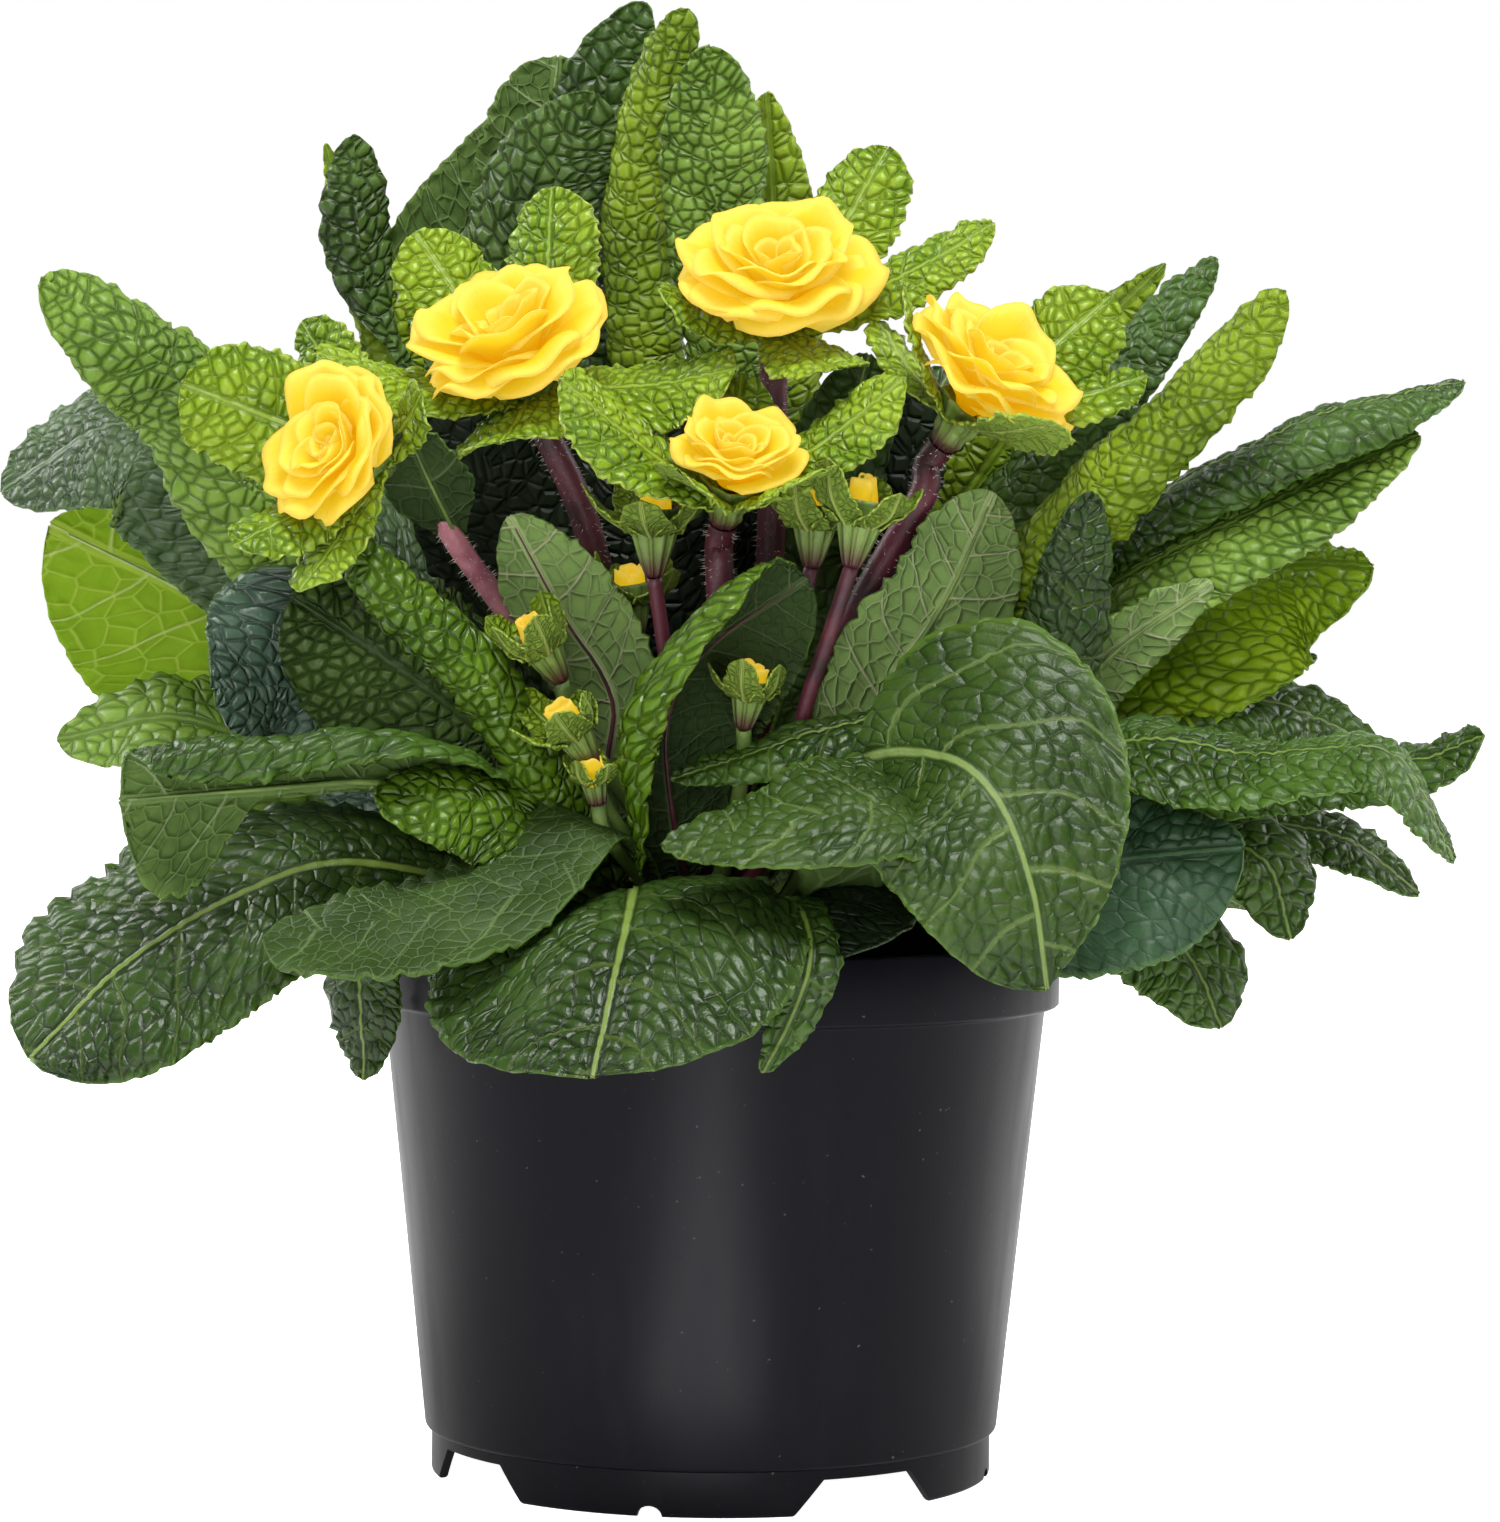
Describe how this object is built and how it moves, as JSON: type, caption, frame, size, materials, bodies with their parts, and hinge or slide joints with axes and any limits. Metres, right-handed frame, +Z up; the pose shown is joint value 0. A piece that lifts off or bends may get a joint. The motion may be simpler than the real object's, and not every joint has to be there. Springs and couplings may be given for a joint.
{
  "type": "potted primrose",
  "caption": "Double yellow primrose in a black plastic nursery pot: a rosette of wrinkled green leaves round ruffled yellow flowers, each in a leafy collar on a purple stalk.",
  "frame": {"origin": "on the floor under the middle of the plant's spread, which is the pot's axis to about 1 mm", "axes": "+Z up, the front of the plant, with most of the flowers, towards -Y, +X to the right seen from the front"},
  "size_m": [0.2782, 0.1874, 0.2792],
  "materials": {
    "pot": "satin",
    "potting_mix": "matte",
    "rootstock": "matte",
    "old_leaf": "satin",
    "leaf": "satin",
    "young_leaf": "satin",
    "calyx": "satin",
    "petal": "matte",
    "stalk": "satin"
  },
  "bodies": {
    "root": {"pot": "pot", "potting_mix": "potting_mix", "rootstock": "rootstock", "leaf_front_centre": "old_leaf", "leaf_front_shaded": "old_leaf", "leaf_front_right": "leaf", "leaf_front_left": "old_leaf", "leaf_left_low": "old_leaf", "leaf_left_turned": "young_leaf", "leaf_left_dark": "old_leaf", "leaf_left_small": "leaf", "leaf_left_backlit": "young_leaf", "leaf_left_upper": "leaf", "leaf_left_spear": "leaf", "leaf_left_rolled": "young_leaf", "leaf_left_shaded": "old_leaf", "leaf_inner_left": "leaf", "leaf_inner_centre": "young_leaf", "leaf_inner_right": "leaf", "leaf_right_round": "old_leaf", "leaf_right_hanging": "leaf", "leaf_right_low": "leaf", "leaf_right_far": "leaf", "leaf_right_backlit": "young_leaf", "leaf_right_middle": "leaf", "leaf_right_long": "leaf", "leaf_right_bright": "young_leaf", "leaf_right_upper": "leaf", "leaf_tall_left": "old_leaf", "leaf_tall_broad": "leaf", "leaf_tall_rugose": "old_leaf", "leaf_tall_rolled": "young_leaf", "leaf_tall_right": "young_leaf", "leaf_back_centre": "old_leaf", "leaf_back_left": "old_leaf", "leaf_back_right": "old_leaf", "leaf_back_left_upper": "leaf", "leaf_back_centre_upper": "leaf", "leaf_back_right_upper": "leaf", "flower_left_stalk": "stalk", "flower_left_calyx": "calyx", "flower_left_petals": "petal", "flower_upper_left_stalk": "stalk", "flower_upper_left_calyx": "calyx", "flower_upper_left_petals": "petal", "flower_top_stalk": "stalk", "flower_top_calyx": "calyx", "flower_top_petals": "petal", "flower_right_stalk": "stalk", "flower_right_calyx": "calyx", "flower_right_petals": "petal", "flower_centre_stalk": "stalk", "flower_centre_calyx": "calyx", "flower_centre_petals": "petal", "bud_centre_left": "calyx", "bud_centre_right": "calyx", "bud_right": "calyx", "bud_left_upper": "calyx", "bud_left_lower": "calyx", "bud_inner": "calyx"}
  },
  "joints": []
}
